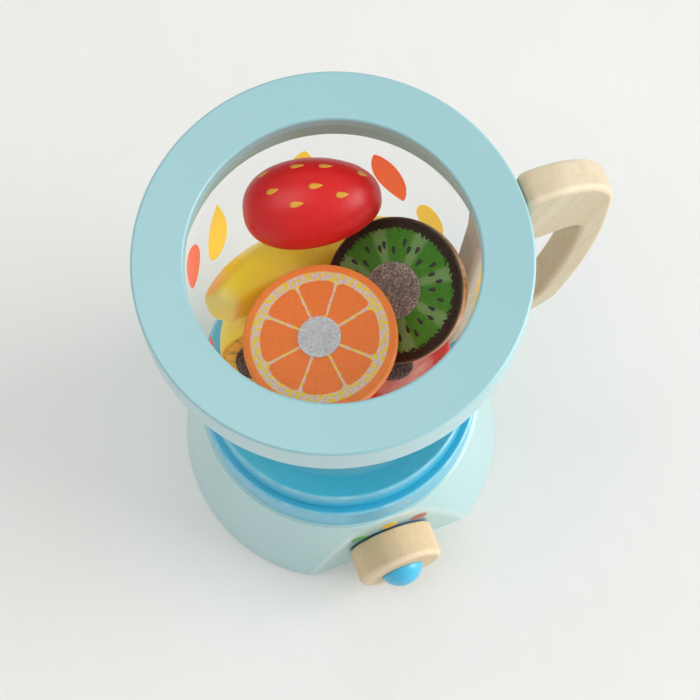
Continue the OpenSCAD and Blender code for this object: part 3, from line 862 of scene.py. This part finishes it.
def berry(a):
    """Radius and way along the strawberry for angle a from the stalk (0) to the tip (pi)."""
    return BERRY_W / 2 * np.sin(a) ** 0.86 * (1 + 0.1 * np.cos(a)), -BERRY_L / 2 * np.cos(a)


a = np.linspace(0, np.pi, 72)[:, None]
t = whole_turn(97)
radius, along = berry(a)
radius = np.maximum(radius, 1e-6)
drop_to = 0.4 * radius
to_circle = drop_to * np.sin(t) + np.sqrt(np.maximum(radius ** 2 - (drop_to * np.cos(t)) ** 2, 0))
to_face = drop_to / np.maximum(np.sin(t), 1e-3)
reach = soft_least(to_circle, to_face, 0.12 * radius)
berry_grid = joined(along, reach * np.cos(t), reach * np.sin(t) - drop_to)
berry_marks = np.exp(-((to_circle - to_face) / 0.8) ** 2) * 0.6

berry_finish, tree, coat, own = fruit_finish("strawberry_print", 0.36)
red = mottled(noise(own, 160, 3), 0.3, 0.7, (214, 8, 10), (220, 16, 18))
on_face = ranged(add(tree, "SeparateXYZ", {0: own}).outputs[2], -0.00035, -0.0002)
pale = mottled(squeezed_noise(own, (90, 500, 90)), 0.35, 0.65, (236, 150, 146), (246, 196, 188))
from_middle = add(tree, "VectorMath", {0: own}, operation="LENGTH").outputs["Value"]
heart = mask(sums("MULTIPLY_ADD", noise(own, 300, 2), 0.006, from_middle), 0.016, 0.002)
face = blend_colour(heart, srgb(216, 70, 70), pale)
# The paler red arris tone is a painted highlight.
fill(coat, {"Paint": blend_colour(on_face, red, face), "Speck, arris wear and shading tone": srgb(224, 66, 62)})
BERRIES = ("strawberry_lower", "strawberry_upper")
cut_halves(BERRIES, berry_grid, berry_finish, marks=[berry_marks])

# %% Seeds on the strawberries
SKIN_PER_RADIAN = 22  # mm of skin to a radian of the angle along the berry


def berry_seed(at, round_turn, length=4.6, width=1.9):
    """A drop on the skin: at is the angle along the berry, round_turn the turn about its axis, degrees."""
    s = whole_turn(17)
    out = np.array([0, 0.6, 1, 1, 0])[:, None]
    lift = np.array([0.1, 0.1, 0.05, -0.15, -0.15])[:, None]
    mid_r, _ = berry(np.radians(at))
    a = np.radians(at) + out * length / 2 * np.cos(s) / SKIN_PER_RADIAN
    r, x = berry(a)
    turn = np.radians(round_turn) + out * width / 2 * np.sin(s) * (1 - 0.5 * np.cos(s)) / mid_r
    return joined(x, (r + lift) * np.cos(turn), (r + lift) * np.sin(turn))


BERRY_SEEDS = [(51, 224), (57, 264), (82, 233), (105, 237), (94, 268), (76, 287), (115, 283), (140, 241),
               (66, 192), (110, 196), (36, 190), (88, 202), (134, 206)]
berry_seed_finish = paint("strawberry_seed_print", (226, 160, 44), (234, 186, 90), 0.4)
grids = [berry_seed(at, turn) for at, turn in BERRY_SEEDS]
for fruit in BERRIES:
    fruit_piece(fruit, "seeds", grids, "strawberry_paint", berry_seed_finish)

# %% [markdown]
# ## Bananas
# A half banana is a soft five-sided section carried along an arc, thinner towards the tip. The
# first and last rows step inwards over a small round, so the cut edge and the tip are eased.
# %% Banana halves
BEND, SWEEP, BANANA_R, BANANA_LONG = 72.0, 60.0, 12.5, 75.4


def banana_rows():
    """Rows as (share of the arc, share of the section): ends shrink over a small quarter round.
    A known fault: the rows of start run from 0.7 mm in back to the cut, so that a narrow ring of
    faces is folded under the cut's edge. They should run the other way."""
    q = np.radians(np.linspace(0, 90, 7))
    cut_way, tip_way = 0.7 / BANANA_LONG, 2.0 / BANANA_LONG
    start = joined(cut_way * (1 - np.sin(q)), 1 - 0.056 * (1 - np.cos(q)))
    middle = joined(np.linspace(0.02, 0.955, 60), 1)
    end = joined(1 - tip_way * (1 - np.sin(q)), 1 - 0.3 * (1 - np.cos(q)))
    return np.vstack([[(0, 0), (0, 0.5), (0, 0.9)], start, middle, end, [(1, 0.35), (1, 0)]])


rows = banana_rows()
share, size = rows[:, :1], rows[:, 1:]
s = whole_turn(121)
radius = BANANA_R * (1 - 0.1 * share - 0.42 * share ** 4) * (1 + 0.045 * np.cos(5 * s)) * size
turn = np.radians(SWEEP) * share
out = BEND + radius * np.cos(s)
banana_grid = joined(out * np.cos(turn) - BEND, radius * np.sin(s), -out * np.sin(turn))
banana_uv = joined(5 * s / (2 * np.pi), share)

banana_finish, tree, coat, own = fruit_finish("banana_print", 0.38)
side, way = pattern(tree)
yellow = mottled(noise(own, 70, 3), 0.3, 0.7, (254, 224, 52), (255, 232, 78))
ridge = mask(off_half(sums("ADD", side, 0.5)), 0.1, 0.08)
yellow = blend_colour(sums("MULTIPLY", ridge, 0.35), yellow, srgb(248, 206, 36))
near_tip = sums("MULTIPLY_ADD", squeezed_noise(own, (200, 200, 30)), 0.1, way)
yellow = blend_colour(ranged(near_tip, 0.97, 1.04), yellow, srgb(250, 230, 130))
cut = mask(way, 0.004, 0.002)
strokes = ranged(squeezed_noise(own, (70, 420, 70)), 0.5, 0.6)
flesh = mottled(noise(own, 500, 3), 0.35, 0.65, (232, 176, 52), (240, 196, 84))
flesh = blend_colour(sums("MULTIPLY", strokes, 0.8), flesh, srgb(140, 150, 58))
fill(coat, {"Paint": blend_colour(cut, yellow, flesh), "Speck, arris wear and shading tone": srgb(240, 214, 110)})
cut_halves(("banana_lower", "banana_upper"), banana_grid, banana_finish, [banana_uv])

# %% [markdown]
# ## Hook and loop pads
# Every cut face has a glued pad. The backing is a thin disc with a pressed, uneven top. On it
# stand hundreds of tiny bent fibres: low loops on the loop pads, and rows of hooks on the dark.
# %% Pads
def pad_disc(d, seed):
    """Disc from z 0 to about 0.75 mm with a softly uneven top."""
    waves = np.random.default_rng(seed).uniform(0, 6.3, 8)
    corners = [(0, 0, 0), (d / 2, 0, 0.1), (d / 2, 0.75, 0.35), (0, 0.75, 0)]
    grid = turned(finely(*softened(corners, 4), 0.5), 96)[0] / MM
    x, y, z = np.moveaxis(grid, -1, 0)
    bumps = 0.03 * sum(np.sin(x * (1.3 + 0.5 * k) + waves[k]) * np.sin(y * (1.7 + 0.4 * k) + waves[-k])
                       for k in range(4))
    grid[..., 2] += np.where(z > 0.6, bumps, 0)
    return grid


GOLDEN_TURN = np.pi * (3 - np.sqrt(5))
HOOK_ROWS, FIBRE_FOOT = 0.85, 0.72  # mm from row to row of hooks, and height at which fibres start


def fibres(d, count, span, height, thick, seed, rowed=False):
    """count bent fibres on a disc: each is an arch of three sides and six rings, which starts at
    (span / 2 cos q, height sin q) for q from 0 to a half turn."""
    draw = np.random.default_rng(seed)
    k = np.arange(count) + 0.5
    r, turn = (d / 2 - 0.15) * np.sqrt(k / count), k * GOLDEN_TURN
    x, y = r * np.cos(turn) + draw.normal(0, 0.12, count), r * np.sin(turn) + draw.normal(0, 0.12, count)
    if rowed:
        y = np.round(y / HOOK_ROWS) * HOOK_ROWS
    lean = draw.uniform(0, 2 * np.pi, count) if not rowed else draw.normal(0, 0.25, count)
    tall = height * draw.uniform(0.6, 1.0, count)
    q = np.linspace(0, np.pi, 6)
    side = whole_turn(4)
    across = span / 2 * np.cos(q)[None, :, None] * draw.uniform(0.7, 1.0, count)[:, None, None]
    up = tall[:, None, None] * np.sin(q)[None, :, None]
    ring_out, b = thick * np.cos(side)[None, None, :], thick * np.sin(side)[None, None, :]
    a = across + ring_out * np.cos(q)[None, :, None]
    z = FIBRE_FOOT + up + ring_out * np.sin(q)[None, :, None] * 0.8
    x, y, c, s = (part[:, None, None] for part in (x, y, np.cos(lean), np.sin(lean)))
    return list(joined(x + a * c - b * s, y + a * s + b * c, z))


def fuzzy(name, dark, pale, sheen):
    made, tree, shader, _ = new_finish(name)
    own = attribute(tree, "own_place", "Vector")
    fuzz_noise = noise(own, 1600, 4, 0.7)
    tuft = noise(own, 420, 3)
    colour = mottled(fuzz_noise, 0.43, 0.57, dark, pale)
    colour = blend_colour(ranged(tuft, 0.45, 0.65, 0.0, 0.5), colour, srgb(*dark))
    bump = add(tree, "Bump", {"Height": fuzz_noise, "Strength": 0.8, "Distance": 0.0005})
    fill(shader, {"Base Color": colour, "Normal": bump.outputs[0], "Sheen Weight": sheen,
                  "Roughness": ranged(tuft, 0.2, 0.8, 0.8, 0.98), "Specular IOR Level": 0.25})
    return made


pale_loop = fuzzy("pale_loop_tape", (222, 221, 225), (255, 255, 255), 0.8)
brown_loop = fuzzy("brown_loop_tape", (118, 94, 82), (228, 210, 200), 0.3)
dark_hook = fuzzy("dark_hook_tape", (62, 54, 50), (150, 140, 134), 0.15)
PADS = {"orange_top": (14.4, pale_loop), "orange_bottom": (14, dark_hook), "kiwi_top": (19.5, brown_loop),
        "kiwi_bottom": (19.5, dark_hook), "strawberry_upper": (14, pale_loop),
        "strawberry_lower": (14, dark_hook), "banana_upper": (16, brown_loop), "banana_lower": (16, dark_hook)}
for n, (fruit, (d, finish)) in enumerate(PADS.items()):
    hooked = finish == dark_hook
    per_area, span, thick = (2.6, 0.55, 0.07) if hooked else (4.2, 1.3, 0.05)
    grids = [pad_disc(d - 0.1, 20 + n)] + fibres(d, int(d * d * per_area), span, 0.42, thick, 40 + n, hooked)
    slot = "hook_tape" if hooked else "loop_tape"
    fruit_piece(fruit, "tape_pad", grids, slot, finish, [fruit + "_pad"])

# %% [markdown]
# ## Table and light
# The blender stands on a pale plaster-like table. The light is soft: a broad lamp low on the
# right, a weaker one high on the left, and a grey sky all round. Where the camera looks past the
# table it sees a pale backdrop instead of that grey. White in the picture comes from the pale
# table itself, so the lamps stay at a plain level.
# %% Table
TABLE_HALF = 10.0  # m, so wide that no view meets its edge
span = np.linspace(-TABLE_HALF, TABLE_HALF, 25)
flat_grid = joined(span[:, None], span, 0.0)
table = in_scene("table", surface("table", [flat_grid]))
if table.data.polygons[0].normal.z < 0:
    table.data.flip_normals()
table_finish, tree, shader, at = new_finish("pale_plaster")
trowel = squeezed_noise(at, (120, 30, 30), 4)
plaster = mottled(noise(at, 7, 4), 0.3, 0.7, (234, 235, 233), (239, 240, 239))
bump = add(tree, "Bump", {"Height": trowel, "Strength": 0.25, "Distance": 0.0006})
fill(shader, {"Base Color": plaster, "Normal": bump.outputs[0], "Roughness": 0.7, "Specular IOR Level": 0.2})
table.data.materials.append(table_finish)

# %% Lamps and sky
def look_frame(back):
    """Rows of a turn whose Z axis points along back, with X kept level."""
    z = back / np.linalg.norm(back)
    x = np.cross((0, 0, 1), z)
    x = x / np.linalg.norm(x)
    return np.stack([x, np.cross(z, x), z], 1).tolist()


def soft_lamp(name, spot, aim_height, size, power):
    """A round lamp at a spot (m), turned to the object's axis at that height."""
    lamp = bpy.data.lights.new(name, "AREA")
    lamp.shape, lamp.size, lamp.energy, lamp.color = "DISK", size, power, (1.0, 0.99, 0.97)
    made = in_scene(name, lamp)
    made.location = spot
    made.rotation_euler = Matrix(look_frame(np.array(spot) - (0, 0, aim_height))).to_euler()


soft_lamp("window_lamp", (1.95, -0.8, 0.8), aim_height=0.12, size=2.0, power=47)
soft_lamp("top_lamp", (-0.6, 0.3, 2.3), aim_height=0.1, size=1.8, power=13)
sky = bpy.data.worlds.new("grey_sky")
bpy.context.scene.world = sky
sky.use_nodes = True
tree = sky.node_tree
ray = add(tree, "LightPath")
seen = sums("MAXIMUM", ray.outputs["Is Camera Ray"], ray.outputs["Is Transmission Ray"])
tone = blend_colour(seen, (0.574, 0.574, 0.568, 1), srgb(232, 233, 231))
fill(tree.nodes["Background"], {"Color": tone})

# %% [markdown]
# ## Camera
# The camera stands above the blender and a little in front, looking steeply down, with a long
# lens. Its axes come from three angles: the turn round the object, the pitch and a slight roll.
# %% Camera
CAMERA_AT = (-0.0720, -0.2173, 0.8802)
TURN, PITCH, ROLL = np.radians([19.5, 73.42, -1.57])
FOCAL_PX, FRAME_PX, SENSOR_MM = 2200, 700, 36
ahead = np.array([np.sin(TURN) * np.cos(PITCH), np.cos(TURN) * np.cos(PITCH), -np.sin(PITCH)])
level = np.array([np.cos(TURN), -np.sin(TURN), 0])
upward = np.cross(level, ahead)
right = np.cos(ROLL) * level + np.sin(ROLL) * upward
up = np.cos(ROLL) * upward - np.sin(ROLL) * level
eye = bpy.data.cameras.new("camera")
eye.sensor_width, eye.lens = SENSOR_MM, FOCAL_PX / FRAME_PX * SENSOR_MM
camera = in_scene("camera", eye)
axes = Matrix(np.stack([right, up, -ahead], 1).tolist()).to_4x4()
camera.matrix_world = Matrix.Translation(CAMERA_AT) @ axes
bpy.context.scene.camera = camera
bpy.context.scene.view_settings.view_transform = "Standard"
print("lens", round(eye.lens, 2), "mm")
